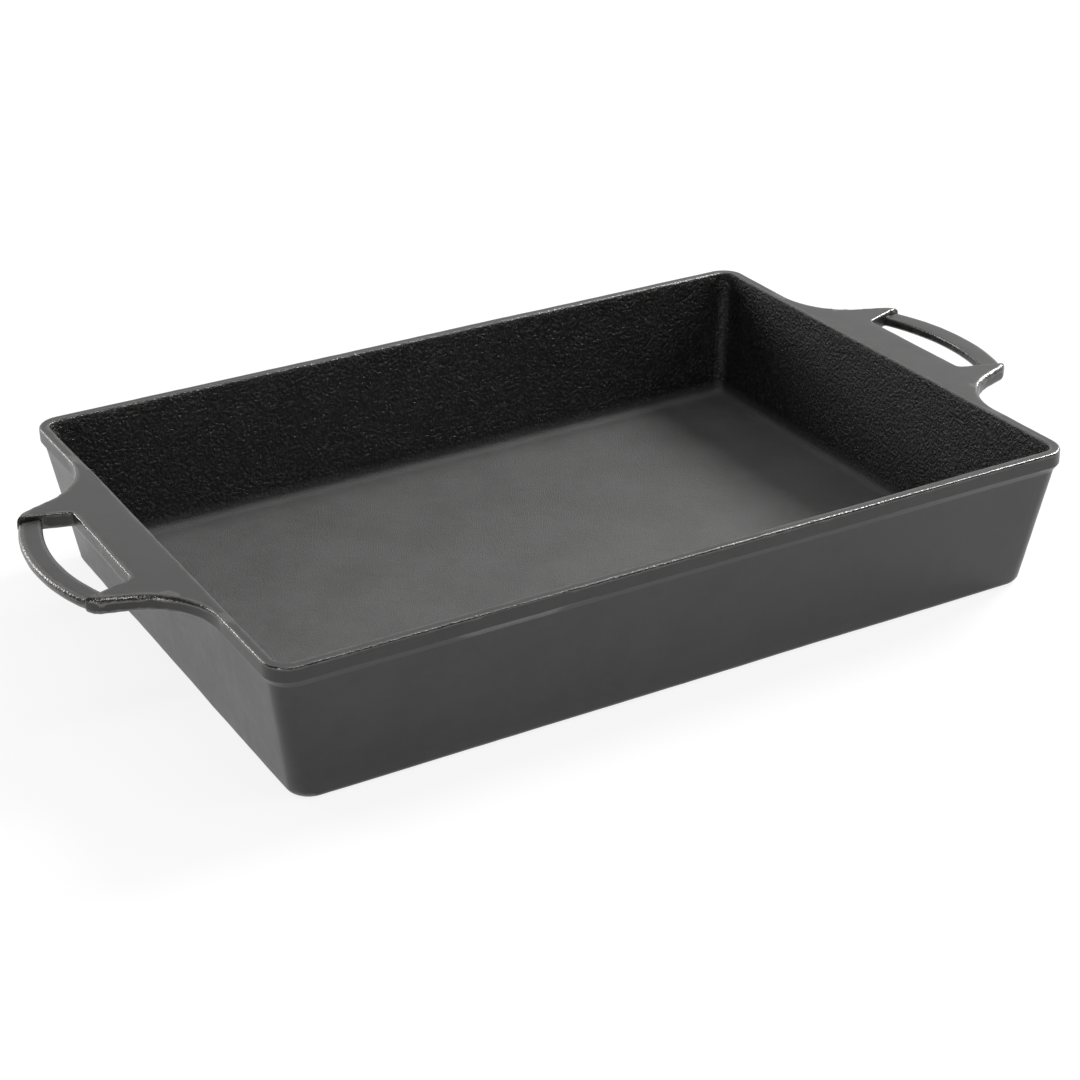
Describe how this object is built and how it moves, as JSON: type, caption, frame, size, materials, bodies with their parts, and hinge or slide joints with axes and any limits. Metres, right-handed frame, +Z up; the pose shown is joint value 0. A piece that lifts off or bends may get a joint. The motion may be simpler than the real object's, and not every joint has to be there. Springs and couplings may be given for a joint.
{
  "type": "lasagna dish",
  "caption": "Deep rectangular cast-iron baking dish with sloping walls, a banded rim and a flared loop handle at each short end.",
  "frame": {"origin": "middle of the flat base, on the surface that the dish stands on", "axes": "+X along the dish towards one handle, +Y across the dish, +Z up"},
  "size_m": [0.4204, 0.2386, 0.0595],
  "materials": {
    "seasoned_iron": "pebbled matte seasoned cast iron"
  },
  "bodies": {
    "root": {"dish_body": "seasoned_iron", "left_handle": "seasoned_iron", "right_handle": "seasoned_iron"}
  },
  "joints": []
}
